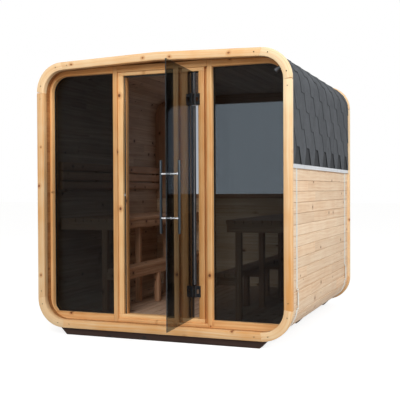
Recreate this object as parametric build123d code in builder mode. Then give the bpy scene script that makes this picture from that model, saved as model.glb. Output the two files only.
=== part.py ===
# Outdoor sauna cabin: a rounded square shell of boards between two timber hoops, with a glass front,
# an outward-opening glass door and benches on both sides. Sizes are in millimetres.
# X runs to the right seen from the front, Y towards the rear, Z up from the ground.
# The origin is on the ground under the middle of the cabin.
import os
from collections import namedtuple
from math import cos, radians, sin, sqrt

from build123d import *

# Whole cabin
width = 2216
length = 2448
ridge_height = 2310
ground_gap = 59
roof_fall = 0.0287

# End rings
ring_face = 65
ring_depth = 50
ring_radius = 240
ring_inner_radius = 184

# Shell boards
board_inset = 20
board_thickness = 42

# Shingles, drip strips, tension bands and their turnbuckles
shingle_thickness = 7
shingle_foot = 1408
drip_height = 33
drip_thickness = 10
band_width = 40
band_thickness = 2.5
band_setback = 150
band_reach = 150
turnbuckle_low = 285
turnbuckle_length = 161
turnbuckle_radius = 7
turnbuckle_end = 16
turnbuckle_standoff = 10

# Cross beams on the ground
beam_depth = 90
beam_setback = 28
beam_end_gap = 23
beam_flare = 1.0

# Timber frames in the two ends
end_recess = 100
frame_depth = 90
pane_setback = 46
pane_thickness = 8
window_jamb_face = 24
window_jamb_least = 8
window_head_face = 65
window_rail_face = 55
window_radius = 140
post_inner = 396
post_face = 41

# Door frame
door_frame_setback = 12
door_frame_right = 369
door_frame_face = 47
door_sill_step = 27
door_sill_face = 36
door_head_step = 3
door_head_face = 29
stop_setback = 42
stop_face = 15
packer_setback = 40
catch_rise = 988
catch_size = 24
catch_proud = 10
catch_depth = 12

# Door leaf and hinges
door_gap = 5
door_sill_gap = 6
door_thickness = 8
door_setback = 16
door_open_angle = 94.6
pin_from_edge = 22
pin_from_pane = 17
pin_radius = 4
pin_play = 0.1
knuckle_radius = 9
hinge_height = 90
hinge_from_bottom = 212
hinge_from_top = 220
knuckle_length = 28
knuckle_gap = 1
hinge_plate_width = 12
hinge_plate_thickness = 8
hinge_clamp_reach = 40
hinge_clamp_thickness = 5
hinge_bolt_radius = 6
hinge_bolt_hole = 6.3
hinge_bolt_reach = 24
hinge_bolt_spacing = 50
hinge_web = 7

# Door handles
handle_radius = 10
handle_rise = 703
handle_length = 535
handle_from_edge = 88
handle_reach = 66
standoff_radius = 6
standoff_inset = 114
standoff_spacing = 322

# Spotlight in the upper right corner of the front recess
lamp_radius = 19
lamp_length = 60
lamp_angle = 35
lamp_setback = 75

# Rear wall and window
rear_frame_depth = 70
rear_jamb_face = 124
rear_head_face = 98
rear_window_low = 1167
rear_window_radius = 100
rear_sill_face = 45

# Floor
floor_thickness = 22
floor_edge_gap = 96
batten_height = 27
batten_width = 60
batten_end_setback = 90
batten_end_gap = 60

# Benches and backrests
bench_setback = 240
bench_rear_gap = 6
bench_wall_gap = 15
slat_thickness = 31
slat_gap = 8
upper_bench_height = 798
upper_bench_width = 528
upper_slats = 7
lower_bench_height = 370
lower_bench_step = 91
lower_bench_width = 157
lower_slats = 2
fascia_height = 67
fascia_thickness = 28
fascia_setback = 6
rail_thickness = 40
rail_setback = 5
rail_rear_setback = 85
rails_per_bench = 4
post_size = 48
upper_post_inset = 100
lower_post_inset = 26
lower_post_setback = 28
backrest_rear_gap = 6
backrest_rise = 253
backrest_slat = 72
backrest_gap = 12
backrest_thickness = 22
backrest_count = 3
backrest_batten = 22
backrest_batten_width = 45

# Planes across the cabin that several pieces share
front = -length / 2
rear = length / 2
front_ring_rear = front + ring_depth
rear_ring_front = rear - ring_depth
front_frame = front + end_recess
front_frame_rear = front_frame + frame_depth
rear_frame = rear - end_recess
rear_frame_inner = rear_frame - rear_frame_depth
rear_wall_inner = rear_frame - board_thickness

# Where the curved corner pieces meet the straight ones
eaves_height = ridge_height - roof_fall * width / 2
joint_x = width / 2 - ring_radius
joint_low = ground_gap + ring_radius
joint_high = eaves_height - ring_radius

# Outline of the boards, outside and inside
board_radius = ring_radius - board_inset
wall_inset = board_inset + board_thickness
wall_radius = board_radius - board_thickness
wall_inner_x = width / 2 - wall_inset
board_outer_x = width / 2 - board_inset
deck_low = ground_gap + board_inset
deck_top = ground_gap + wall_inset
deck_ceiling = ridge_height - wall_inset
post_outer = post_inner + post_face

# Openings of the front windows and of the doorway
window_half = wall_inner_x - window_jamb_face
window_low = deck_top + window_rail_face
window_high = deck_ceiling - window_head_face
door_sill_low = deck_top + door_sill_step
door_sill_high = door_sill_low + door_sill_face
door_head_high = window_high + door_head_step
door_head_low = door_head_high - door_head_face

# Door leaf, measured from its hinge pin: u runs along the leaf, v out of its outer face
door_front = front_frame + door_frame_setback
jamb_inner_left = -post_inner + door_frame_face
jamb_inner_right = door_frame_right - door_frame_face
door_left = jamb_inner_left + door_gap
door_right = jamb_inner_right - door_gap
door_width = door_right - door_left
door_bottom = door_sill_high + door_sill_gap
door_top = door_head_low - door_gap
pin_x = door_right - pin_from_edge
pin_y = front_frame + door_setback - pin_from_pane
pane_front_v = -pin_from_pane
pane_back_v = pane_front_v - door_thickness
hinge_centres = (door_bottom + hinge_from_bottom, door_top - hinge_from_top)
handle_low = door_bottom + handle_rise

os.makedirs("parts", exist_ok=True)


def across(y):
    """Upright plane across the cabin at y, facing the front."""
    return Plane.XZ.offset(-y)


def level(z):
    """Level plane at height z."""
    return Plane.XY.offset(z)


def door_level(z):
    """Level plane at height z with its origin on the hinge pin and its x axis along the open door."""
    turn = radians(door_open_angle)
    return Plane(origin=(pin_x, pin_y, z), x_dir=(-cos(turn), -sin(turn), 0), z_dir=(0, 0, 1))


def save(piece, name):
    """Label one finished piece and write it to its own file."""
    piece.part.label = name
    export_step(piece.part, f"parts/{name}.step")


def cabin_outline(inset, radius, mode=Mode.ADD):
    """Cross-section of the cabin pulled in by inset: a square with a slight ridge and round corners."""
    side = width / 2 - inset
    low = ground_gap + inset
    ridge = ridge_height - inset
    eaves = ridge - roof_fall * side
    with BuildSketch(mode=Mode.PRIVATE) as outline:
        with BuildLine():
            Polyline((-side, low), (side, low), (side, eaves), (0, ridge), (-side, eaves), close=True)
        make_face()
        fillet(outline.vertices().filter_by(lambda corner: abs(corner.X) > side / 2), radius)
    add(outline.sketch_local, mode=mode)


def window_outline(half, low, high, radius, mode=Mode.ADD):
    """Window opening with its two upper corners rounded."""
    with BuildSketch(mode=Mode.PRIVATE) as opening:
        with Locations((0, (low + high) / 2)):
            Rectangle(2 * half, high - low)
        fillet(opening.vertices().group_by(Axis.Y)[-1], radius)
    add(opening.sketch_local, mode=mode)


def front_opening(mode=Mode.ADD):
    """Opening from one front window to the other, pulled in where it passes a round lower corner."""
    with BuildSketch(mode=Mode.PRIVATE) as opening:
        window_outline(window_half, window_low, window_high, window_radius)
        cabin_outline(wall_inset + window_jamb_least, wall_radius - window_jamb_least, Mode.INTERSECT)
    add(opening.sketch_local, mode=mode)


def region(low_x, high_x, low_y, high_y, mode=Mode.ADD):
    """Rectangle in the current sketch from its lowest to its highest corner."""
    with Locations(((low_x + high_x) / 2, (low_y + high_y) / 2)):
        Rectangle(high_x - low_x, high_y - low_y, mode=mode)


def block(low_x, high_x, low_y, high_y, low_z, high_z):
    """Straight timber or plate in the current part from its lowest to its highest corner."""
    with BuildSketch(level(low_z)) as base:
        region(low_x, high_x, low_y, high_y)
    extrude(base.sketch, amount=high_z - low_z)


def ring_section():
    """Face of an end ring."""
    cabin_outline(0, ring_radius)
    cabin_outline(ring_face, ring_inner_radius, Mode.SUBTRACT)


def shell_section():
    """Section through the boards of the shell."""
    cabin_outline(board_inset, board_radius)
    cabin_outline(wall_inset, wall_radius, Mode.SUBTRACT)


def keep_corners():
    """Leave only the four curved corners of a hoop."""
    region(-joint_x, joint_x, 0, ridge_height, Mode.SUBTRACT)
    region(-width, width, joint_low, joint_high, Mode.SUBTRACT)


def end_ring(name, ring_rear):
    """One end ring: straight rails above and below, straight sides and four curved corners."""
    with BuildPart() as rails:
        with BuildSketch(across(ring_rear)):
            ring_section()
            region(-joint_x, joint_x, 0, ridge_height, Mode.INTERSECT)
        extrude(amount=ring_depth)
    save(rails, f"{name}_rails")

    with BuildPart() as sides:
        with BuildSketch(across(ring_rear)):
            ring_section()
            region(-width, width, joint_low, joint_high, Mode.INTERSECT)
        extrude(amount=ring_depth)
    save(sides, f"{name}_sides")

    with BuildPart() as corners:
        with BuildSketch(across(ring_rear)):
            ring_section()
            keep_corners()
        extrude(amount=ring_depth)
    save(corners, f"{name}_corners")


end_ring("front_ring", front_ring_rear)
end_ring("rear_ring", rear)

# Shell boards between the rings
shell_length = rear_ring_front - front_ring_rear

with BuildPart() as left_wall:
    with BuildSketch(across(rear_ring_front)):
        shell_section()
        region(-width, 0, joint_low, joint_high, Mode.INTERSECT)
    extrude(amount=shell_length)
save(left_wall, "left_wall")

with BuildPart() as right_wall:
    with BuildSketch(across(rear_ring_front)):
        shell_section()
        region(0, width, joint_low, joint_high, Mode.INTERSECT)
    extrude(amount=shell_length)
save(right_wall, "right_wall")

with BuildPart() as roof_deck:
    with BuildSketch(across(rear_ring_front)):
        shell_section()
        region(-joint_x, joint_x, joint_high, ridge_height, Mode.INTERSECT)
    extrude(amount=shell_length)
save(roof_deck, "roof_deck")

with BuildPart() as bottom_deck:
    with BuildSketch(across(rear_ring_front)):
        shell_section()
        region(-joint_x, joint_x, 0, joint_low, Mode.INTERSECT)
    extrude(amount=shell_length)
save(bottom_deck, "bottom_deck")

with BuildPart() as corner_boards:
    with BuildSketch(across(rear_ring_front)):
        shell_section()
        keep_corners()
    extrude(amount=shell_length)
save(corner_boards, "corner_boards")

# Shingles over the roof and upper sides, and the drip strips under them
with BuildPart() as shingles:
    with BuildSketch(across(rear_ring_front)):
        cabin_outline(board_inset - shingle_thickness, board_radius + shingle_thickness)
        cabin_outline(board_inset, board_radius, Mode.SUBTRACT)
        region(-width, width, shingle_foot, ridge_height, Mode.INTERSECT)
    extrude(amount=shell_length)
save(shingles, "shingles")

drip_low = shingle_foot - drip_height

with BuildPart() as drip_strips:
    for side in (-1, 1):
        edges = sorted((side * board_outer_x, side * (board_outer_x + drip_thickness)))
        block(*edges, front_ring_rear, rear_ring_front, drip_low, shingle_foot)
save(drip_strips, "drip_strips")

# Flat bands that pull the boards together, one near each end, with a turnbuckle on each side
turnbuckle_high = turnbuckle_low + turnbuckle_length
band_fronts = (front_ring_rear + band_setback, rear_ring_front - band_setback - band_width)

with BuildPart() as tension_bands:
    for band_front in band_fronts:
        with BuildSketch(across(band_front + band_width)):
            cabin_outline(board_inset - band_thickness, board_radius + band_thickness)
            cabin_outline(board_inset, board_radius, Mode.SUBTRACT)
            region(-width, width, 0, drip_low, Mode.INTERSECT)
            region(-width, width, turnbuckle_low, turnbuckle_high, Mode.SUBTRACT)
            region(-joint_x + band_reach, joint_x - band_reach, 0, joint_low, Mode.SUBTRACT)
        extrude(amount=band_width)
save(tension_bands, "tension_bands")

turnbuckle_x = board_outer_x + turnbuckle_standoff

with BuildPart() as turnbuckles:
    for side in (-1, 1):
        for band_front in band_fronts:
            with BuildSketch(level(turnbuckle_low)):
                with Locations((side * turnbuckle_x, band_front + band_width / 2)):
                    Circle(turnbuckle_radius)
            extrude(amount=turnbuckle_length)
            edges = sorted((side * board_outer_x, side * turnbuckle_x))
            for end_low in (turnbuckle_low, turnbuckle_high - turnbuckle_end):
                block(*edges, band_front, band_front + band_width, end_low, end_low + turnbuckle_end)
save(turnbuckles, "turnbuckles")

# Cross beams: each end beam is notched under its ring, and all have slanted ends
beam_fronts = (front + beam_setback, -beam_depth / 2, rear - beam_setback - beam_depth)
beam_foot = joint_x - beam_end_gap
beam_top = beam_foot + beam_flare * deck_low

with BuildPart() as base_beams:
    for beam_front in beam_fronts:
        with BuildSketch(across(beam_front + beam_depth)):
            right_end = ((beam_foot, 0), (beam_top, deck_low))
            left_end = ((-beam_top, deck_low), (-beam_foot, 0))
            with BuildLine():
                Polyline(*right_end, *left_end, close=True)
            make_face()
        extrude(amount=beam_depth)
    for ring_front in (front, rear_ring_front):
        with BuildSketch(across(ring_front + ring_depth)):
            region(-width / 2, width / 2, ground_gap, deck_low)
        extrude(amount=ring_depth, mode=Mode.SUBTRACT)
save(base_beams, "base_beams")

# Front frame: round-cornered jambs, heads and bottom rails of the side windows, and two posts
with BuildPart() as front_window_jambs:
    with BuildSketch(across(front_frame_rear)):
        cabin_outline(wall_inset, wall_radius)
        front_opening(Mode.SUBTRACT)
        region(-window_half + window_radius, window_half - window_radius, 0, ridge_height, Mode.SUBTRACT)
        region(-width, width, window_low, ridge_height, Mode.INTERSECT)
    extrude(amount=frame_depth)
save(front_window_jambs, "front_window_jambs")

with BuildPart() as front_window_rails:
    with BuildSketch(across(front_frame_rear)):
        cabin_outline(wall_inset, wall_radius)
        head_end = window_half - window_radius
        region(-head_end, head_end, window_high, ridge_height, Mode.INTERSECT)
        region(-post_outer, post_outer, 0, ridge_height, Mode.SUBTRACT)
    extrude(amount=frame_depth)
    with BuildSketch(across(front_frame_rear)):
        cabin_outline(wall_inset, wall_radius)
        region(-width, width, 0, window_low, Mode.INTERSECT)
        region(-post_outer, post_outer, 0, ridge_height, Mode.SUBTRACT)
    extrude(amount=frame_depth)
save(front_window_rails, "front_window_rails")

with BuildPart() as front_posts:
    with BuildSketch(across(front_frame_rear)):
        cabin_outline(wall_inset, wall_radius)
        region(-post_outer, post_outer, 0, ridge_height, Mode.INTERSECT)
        region(-post_inner, post_inner, 0, ridge_height, Mode.SUBTRACT)
    extrude(amount=frame_depth)
save(front_posts, "front_posts")

pane_rear = front_frame + pane_setback + pane_thickness

with BuildPart() as front_windows:
    with BuildSketch(across(pane_rear)):
        front_opening()
        region(-post_outer, post_outer, 0, ridge_height, Mode.SUBTRACT)
    extrude(amount=pane_thickness)
save(front_windows, "front_windows")

# Door frame between the posts, with a packer strip in the gap on the hinge side
with BuildPart() as door_transom:
    with BuildSketch(across(front_frame_rear)):
        cabin_outline(wall_inset, wall_radius)
        region(-post_inner, post_inner, door_head_high, ridge_height, Mode.INTERSECT)
    extrude(amount=frame_depth)
save(door_transom, "door_transom")

with BuildPart() as door_frame_head:
    block(-post_inner, door_frame_right, door_front, front_frame_rear, door_head_low, door_head_high)
save(door_frame_head, "door_frame_head")

with BuildPart() as door_frame_jambs:
    block(-post_inner, jamb_inner_left, door_front, front_frame_rear, door_sill_high, door_head_low)
    block(jamb_inner_right, door_frame_right, door_front, front_frame_rear, door_sill_high, door_head_low)
save(door_frame_jambs, "door_frame_jambs")

with BuildPart() as door_sill:
    block(-post_inner, post_inner, front_frame, front_frame_rear, deck_top, door_sill_low)
    block(-post_inner, door_frame_right, door_front, front_frame_rear, door_sill_low, door_sill_high)
save(door_sill, "door_sill")

stop_front = front_frame + stop_setback
stop_left = jamb_inner_left + stop_face
stop_right = jamb_inner_right - stop_face
packer_front = front_frame + packer_setback

with BuildPart() as door_stops:
    block(jamb_inner_left, stop_left, stop_front, front_frame_rear, door_sill_high, door_head_low)
    block(stop_right, jamb_inner_right, stop_front, front_frame_rear, door_sill_high, door_head_low)
    block(door_frame_right, post_inner, packer_front, front_frame_rear, door_sill_low, door_head_high)
save(door_stops, "door_stops")

catch_low = door_sill_high + catch_rise - catch_size / 2
catch_right = jamb_inner_left + catch_proud

with BuildPart() as door_catch:
    catch_high = catch_low + catch_size
    block(jamb_inner_left, catch_right, stop_front - catch_depth, stop_front, catch_low, catch_high)
save(door_catch, "door_catch")

# Fixed half of each hinge: a plate on the face of the jamb, a web, two knuckles and the pin
plate_left = jamb_inner_right
plate_front = door_front - hinge_plate_thickness

with BuildPart() as hinge_brackets:
    for centre in hinge_centres:
        low = centre - hinge_height / 2
        high = centre + hinge_height / 2
        block(plate_left, plate_left + hinge_plate_width, plate_front, door_front, low, high)
        for knuckle_low in (low, high - knuckle_length):
            knuckle_high = knuckle_low + knuckle_length
            with BuildSketch(level(knuckle_low)):
                with Locations((pin_x, pin_y)):
                    Circle(knuckle_radius)
            extrude(amount=knuckle_length)
            block(pin_x, plate_left + hinge_web, pin_y, pin_y + knuckle_radius, knuckle_low, knuckle_high)
        with BuildSketch(level(low)):
            with Locations((pin_x, pin_y)):
                Circle(pin_radius)
        extrude(amount=hinge_height)
save(hinge_brackets, "hinge_brackets")

# Door leaf: one sheet of glass, drilled for the hinge bolts
with BuildPart() as door_glass:
    with BuildSketch(door_level(door_bottom)):
        region(-pin_from_edge, door_width - pin_from_edge, pane_back_v, pane_front_v)
    extrude(amount=door_top - door_bottom)
    for centre in hinge_centres:
        for bolt_height in (centre - hinge_bolt_spacing / 2, centre + hinge_bolt_spacing / 2):
            bolt_plane = door_level(bolt_height)
            bolt_start = bolt_plane.from_local_coords((hinge_bolt_reach, pane_front_v, 0))
            with BuildSketch(Plane(origin=bolt_start, x_dir=bolt_plane.x_dir, z_dir=bolt_plane.y_dir)):
                Circle(hinge_bolt_hole)
            extrude(amount=-door_thickness, mode=Mode.SUBTRACT)
save(door_glass, "door_glass")

# Moving half of each hinge: a knuckle on the pin, a web, and two plates bolted through the glass
clamp_front_v = pane_front_v + hinge_clamp_thickness
clamp_back_v = pane_back_v - hinge_clamp_thickness
moving_knuckle = hinge_height - 2 * (knuckle_length + knuckle_gap)

with BuildPart() as door_hinges:
    for centre in hinge_centres:
        with BuildSketch(door_level(centre - moving_knuckle / 2)):
            Circle(knuckle_radius)
            region(-hinge_web, hinge_web, pane_front_v, 0)
            Circle(pin_radius + pin_play, mode=Mode.SUBTRACT)
        extrude(amount=moving_knuckle)
        with BuildSketch(door_level(centre - hinge_height / 2)):
            region(-pin_from_edge, hinge_clamp_reach, pane_front_v, clamp_front_v)
            region(-pin_from_edge, hinge_clamp_reach, clamp_back_v, pane_back_v)
        extrude(amount=hinge_height)
        for bolt_height in (centre - hinge_bolt_spacing / 2, centre + hinge_bolt_spacing / 2):
            bolt_plane = door_level(bolt_height)
            bolt_start = bolt_plane.from_local_coords((hinge_bolt_reach, clamp_front_v, 0))
            with BuildSketch(Plane(origin=bolt_start, x_dir=bolt_plane.x_dir, z_dir=bolt_plane.y_dir)):
                Circle(hinge_bolt_radius)
            extrude(amount=clamp_back_v - clamp_front_v)
save(door_hinges, "door_hinges")

# A tube handle on each face of the glass, opposite one another
handle_u = door_width - pin_from_edge - handle_from_edge
standoff_low = handle_low + standoff_inset
standoff_heights = (standoff_low, standoff_low + standoff_spacing)


def tube_handle(name, face_v, out):
    """Upright tube on two standoffs; out is 1 on the outer face of the glass and -1 on the inner."""
    with BuildPart() as handle:
        with BuildSketch(door_level(handle_low)):
            with Locations((handle_u, face_v + out * handle_reach)):
                Circle(handle_radius)
        extrude(amount=handle_length)
        for height in standoff_heights:
            seat = door_level(height)
            seat_centre = seat.from_local_coords((handle_u, face_v, 0))
            with BuildSketch(Plane(origin=seat_centre, x_dir=seat.x_dir, z_dir=seat.y_dir)):
                Circle(standoff_radius)
            extrude(amount=out * handle_reach)
    save(handle, name)


tube_handle("outer_handle", pane_front_v, 1)
tube_handle("inner_handle", pane_back_v, -1)

# Spotlight on the round upper corner of the recess, aimed at the middle of the corner's curve
corner_x = wall_inner_x - wall_radius
slope_length = sqrt(1 + roof_fall**2)
corner_z = deck_ceiling - roof_fall * corner_x - wall_radius * slope_length
lamp_seat = sqrt(wall_radius**2 - lamp_radius**2)
lamp_out = (cos(radians(lamp_angle)), sin(radians(lamp_angle)))

with BuildPart() as corner_spotlight:
    lamp_base = (corner_x + lamp_seat * lamp_out[0], front + lamp_setback, corner_z + lamp_seat * lamp_out[1])
    with BuildSketch(Plane(origin=lamp_base, x_dir=(0, 1, 0), z_dir=(-lamp_out[0], 0, -lamp_out[1]))):
        Circle(lamp_radius)
    extrude(amount=lamp_length)
save(corner_spotlight, "corner_spotlight")

# Rear wall: boards below, a wide fixed window above
rear_rail_low = rear_window_low - rear_sill_face
rear_window_half = wall_inner_x - rear_jamb_face
rear_window_high = deck_ceiling - rear_head_face

with BuildPart() as rear_wall:
    with BuildSketch(across(rear_frame)):
        cabin_outline(wall_inset, wall_radius)
        region(-width, width, 0, rear_rail_low, Mode.INTERSECT)
    extrude(amount=board_thickness)
save(rear_wall, "rear_wall")

with BuildPart() as rear_window_sill:
    with BuildSketch(across(rear_frame)):
        region(-wall_inner_x, wall_inner_x, rear_rail_low, rear_window_low)
    extrude(amount=rear_frame_depth)
save(rear_window_sill, "rear_window_sill")

with BuildPart() as rear_window_jambs:
    with BuildSketch(across(rear_frame)):
        cabin_outline(wall_inset, wall_radius)
        window_outline(rear_window_half, rear_window_low, rear_window_high, rear_window_radius, Mode.SUBTRACT)
        jamb_end = rear_window_half - rear_window_radius
        region(-jamb_end, jamb_end, 0, ridge_height, Mode.SUBTRACT)
        region(-width, width, rear_window_low, ridge_height, Mode.INTERSECT)
    extrude(amount=rear_frame_depth)
save(rear_window_jambs, "rear_window_jambs")

with BuildPart() as rear_window_head:
    with BuildSketch(across(rear_frame)):
        cabin_outline(wall_inset, wall_radius)
        region(-jamb_end, jamb_end, rear_window_high, ridge_height, Mode.INTERSECT)
    extrude(amount=rear_frame_depth)
save(rear_window_head, "rear_window_head")

with BuildPart() as rear_window:
    with BuildSketch(across(rear_frame - pane_setback + pane_thickness)):
        window_outline(rear_window_half, rear_window_low, rear_window_high, rear_window_radius)
    extrude(amount=pane_thickness)
save(rear_window, "rear_window")

# Raised floor on battens
floor_low = deck_top + batten_height
floor_top = floor_low + floor_thickness
floor_half = wall_inner_x - floor_edge_gap
batten_half = floor_half - batten_end_setback

with BuildPart() as floor_boards:
    block(-floor_half, floor_half, front_frame_rear, rear_wall_inner, floor_low, floor_top)
save(floor_boards, "floor_boards")

first_batten = front_frame_rear + batten_end_gap
last_batten = rear_wall_inner - batten_end_gap - batten_width
middle_batten = (first_batten + last_batten) / 2

with BuildPart() as floor_battens:
    for batten_front in (first_batten, middle_batten, last_batten):
        block(-batten_half, batten_half, batten_front, batten_front + batten_width, deck_top, floor_low)
save(floor_battens, "floor_battens")

# Benches: slats that run front to rear, on cross rails, with a fascia under the inner edge.
# The rails of the lower benches end at the posts of the upper ones.
Bench = namedtuple("Bench", "inner outer front top slats")

bench_front = front + bench_setback
upper_bench_outer = wall_inner_x - bench_wall_gap
upper_bench_edge = upper_bench_outer - upper_bench_width
upper_bench_top = floor_top + upper_bench_height
lower_bench_edge = upper_bench_edge - lower_bench_step
lower_bench_outer = lower_bench_edge + lower_bench_width
lower_bench_top = floor_top + lower_bench_height
upper_bench = Bench(upper_bench_edge, upper_bench_outer, bench_front, upper_bench_top, upper_slats)
lower_bench = Bench(lower_bench_edge, lower_bench_outer, bench_front, lower_bench_top, lower_slats)
upper_post_line = upper_bench_edge + upper_post_inset
lower_post_line = lower_bench_edge + lower_post_inset
bench_rear = rear_wall_inner - bench_rear_gap
last_rail = bench_rear - rail_rear_setback - rail_thickness


def rail_fronts(bench):
    """Front faces of the cross rails of a bench."""
    first_rail = bench.front + rail_setback
    pitch = (last_rail - first_rail) / (rails_per_bench - 1)
    return [first_rail + k * pitch for k in range(rails_per_bench)]


def rail_heights(bench):
    """Lowest and highest level of the rails and the fascia of a bench."""
    rail_high = bench.top - slat_thickness
    return rail_high - fascia_height, rail_high


with BuildPart() as bench_slats:
    for bench in (upper_bench, lower_bench):
        slat_width = (bench.outer - bench.inner - (bench.slats - 1) * slat_gap) / bench.slats
        for k in range(bench.slats):
            slat_edge = bench.inner + k * (slat_width + slat_gap)
            slat_low = bench.top - slat_thickness
            block(slat_edge, slat_edge + slat_width, bench.front, bench_rear, slat_low, bench.top)
    mirror(about=Plane.YZ)
save(bench_slats, "bench_slats")

with BuildPart() as bench_fascias:
    for bench in (upper_bench, lower_bench):
        face = bench.inner + fascia_setback
        block(face, face + fascia_thickness, bench.front + rail_setback, bench_rear, *rail_heights(bench))
    mirror(about=Plane.YZ)
save(bench_fascias, "bench_fascias")

with BuildPart() as bench_rails:
    for bench, rail_end in ((upper_bench, upper_bench_outer), (lower_bench, upper_post_line - post_size / 2)):
        rail_start = bench.inner + fascia_setback + fascia_thickness
        for rail_front in rail_fronts(bench):
            block(rail_start, rail_end, rail_front, rail_front + rail_thickness, *rail_heights(bench))
    mirror(about=Plane.YZ)
save(bench_rails, "bench_rails")


def post(line, post_front, bench):
    """Square post from the floor to the underside of the rails and the fascia of a bench."""
    low_x = line - post_size / 2
    block(low_x, low_x + post_size, post_front, post_front + post_size, floor_top, rail_heights(bench)[0])


with BuildPart() as bench_posts:
    for rail_front in rail_fronts(upper_bench):
        post(upper_post_line, rail_front, upper_bench)
    for rail_front in rail_fronts(lower_bench)[1:]:
        post(lower_post_line, rail_front + rail_thickness + lower_post_setback, lower_bench)
    mirror(about=Plane.YZ)
save(bench_posts, "bench_posts")

# Backrests: slats on battens against each side wall
backrest_low = upper_bench_top + backrest_rise
backrest_high = backrest_low + backrest_count * (backrest_slat + backrest_gap) - backrest_gap
backrest_back = wall_inner_x - backrest_batten
backrest_face = backrest_back - backrest_thickness
backrest_rear = rear_frame_inner - backrest_rear_gap

with BuildPart() as backrest_slats:
    for k in range(backrest_count):
        slat_low = backrest_low + k * (backrest_slat + backrest_gap)
        slat_high = slat_low + backrest_slat
        block(backrest_face, backrest_back, bench_front, backrest_rear, slat_low, slat_high)
    mirror(about=Plane.YZ)
save(backrest_slats, "backrest_slats")

with BuildPart() as backrest_battens:
    for batten in rail_fronts(upper_bench):
        batten_end = batten + backrest_batten_width
        block(backrest_back, wall_inner_x, batten, batten_end, backrest_low, backrest_high)
    mirror(about=Plane.YZ)
save(backrest_battens, "backrest_battens")
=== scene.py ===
# The outdoor sauna cabin as it looks: boards, shingles, glass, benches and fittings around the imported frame.
# Lengths are in metres. X runs to the right seen from the front, Y towards the rear, Z up.
import math
import random

import bmesh
import bpy
from mathutils import Matrix, Vector


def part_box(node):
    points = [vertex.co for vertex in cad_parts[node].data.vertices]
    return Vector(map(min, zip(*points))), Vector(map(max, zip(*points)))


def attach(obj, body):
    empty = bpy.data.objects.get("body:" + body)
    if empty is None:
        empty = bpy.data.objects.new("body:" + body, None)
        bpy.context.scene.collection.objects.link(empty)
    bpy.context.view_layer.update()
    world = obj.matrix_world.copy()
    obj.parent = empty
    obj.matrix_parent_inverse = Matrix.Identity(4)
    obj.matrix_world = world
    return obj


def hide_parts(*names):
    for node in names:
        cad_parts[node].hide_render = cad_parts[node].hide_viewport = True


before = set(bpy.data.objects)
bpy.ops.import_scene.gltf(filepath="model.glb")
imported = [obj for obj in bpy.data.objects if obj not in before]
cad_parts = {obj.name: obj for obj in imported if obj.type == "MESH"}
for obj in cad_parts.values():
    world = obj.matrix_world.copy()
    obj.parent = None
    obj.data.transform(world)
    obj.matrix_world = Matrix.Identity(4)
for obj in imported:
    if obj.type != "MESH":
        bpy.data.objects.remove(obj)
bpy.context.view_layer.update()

chance = random.Random(11)

# Planes and outlines of the cabin, read from the frame
ring_low, ring_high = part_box("front_ring_sides")
rail_low, rail_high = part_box("front_ring_rails")
wall_low, wall_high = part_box("right_wall")
half_width, front, ring_rear = ring_high.x, ring_low.y, ring_high.y
rear_ring_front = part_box("rear_ring_sides")[0].y
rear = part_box("rear_ring_sides")[1].y
ground_gap, ridge, joint_x = rail_low.z, rail_high.z, rail_high.x
ring_radius = half_width - joint_x
joint_low, joint_high = wall_low.z, wall_high.z
roof_fall = (ridge - joint_high - ring_radius) / half_width
board_inset, board_thickness = half_width - wall_high.x, wall_high.x - wall_low.x
wall_inset = board_inset + board_thickness
ring_face, ring_inner_radius = 0.065, 0.184
beam_depth, beam_setback = 0.090, 0.028
beam_foot = joint_x - 0.023

# Boards and shingles
end_ease = 0.0012
board_pitch, board_joint_height = 0.086, 1.2816
board_chamfer, board_gap, tongue_depth = 0.0028, 0.0024, 0.009
shingle_pitch, shingle_course = 0.333, 0.1446
shingle_sheet, shingle_rise, underlay_top, head_lap = 0.0026, 0.0055, 0.0016, 1.08
first_notch_height, first_notch_setback = 1.8341, 0.2406
tab_bottom, notch_share = 0.29, 0.29


# Materials
def srgb(colour):
    """Linear colour of a display colour given from 0 to 255."""
    shares = [level / 255 for level in colour]
    return tuple(v / 12.92 if v <= 0.04045 else ((v + 0.055) / 1.055) ** 2.4 for v in shares) + (1.0,)


def dimmed(colour, share):
    """The same colour, darker."""
    return tuple(level * share for level in colour[:3]) + (1.0,)


def feed(tree, socket, value):
    """Link a socket to another one, or set it to a constant."""
    if isinstance(value, bpy.types.NodeSocket):
        tree.links.new(value, socket)
    else:
        socket.default_value = value


def add_node(tree, kind, *values, **settings):
    """New shader node. The values go to its first sockets in order. A setting whose name starts with a capital
    is a socket, and any other one a property."""
    node = tree.nodes.new("ShaderNode" + kind)
    for name, value in settings.items():
        if name[0].isupper():
            feed(tree, node.inputs[name.replace("_", " ")], value)
        else:
            setattr(node, name, value)
    for socket, value in zip(node.inputs, values):
        feed(tree, socket, value)
    return node


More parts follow.
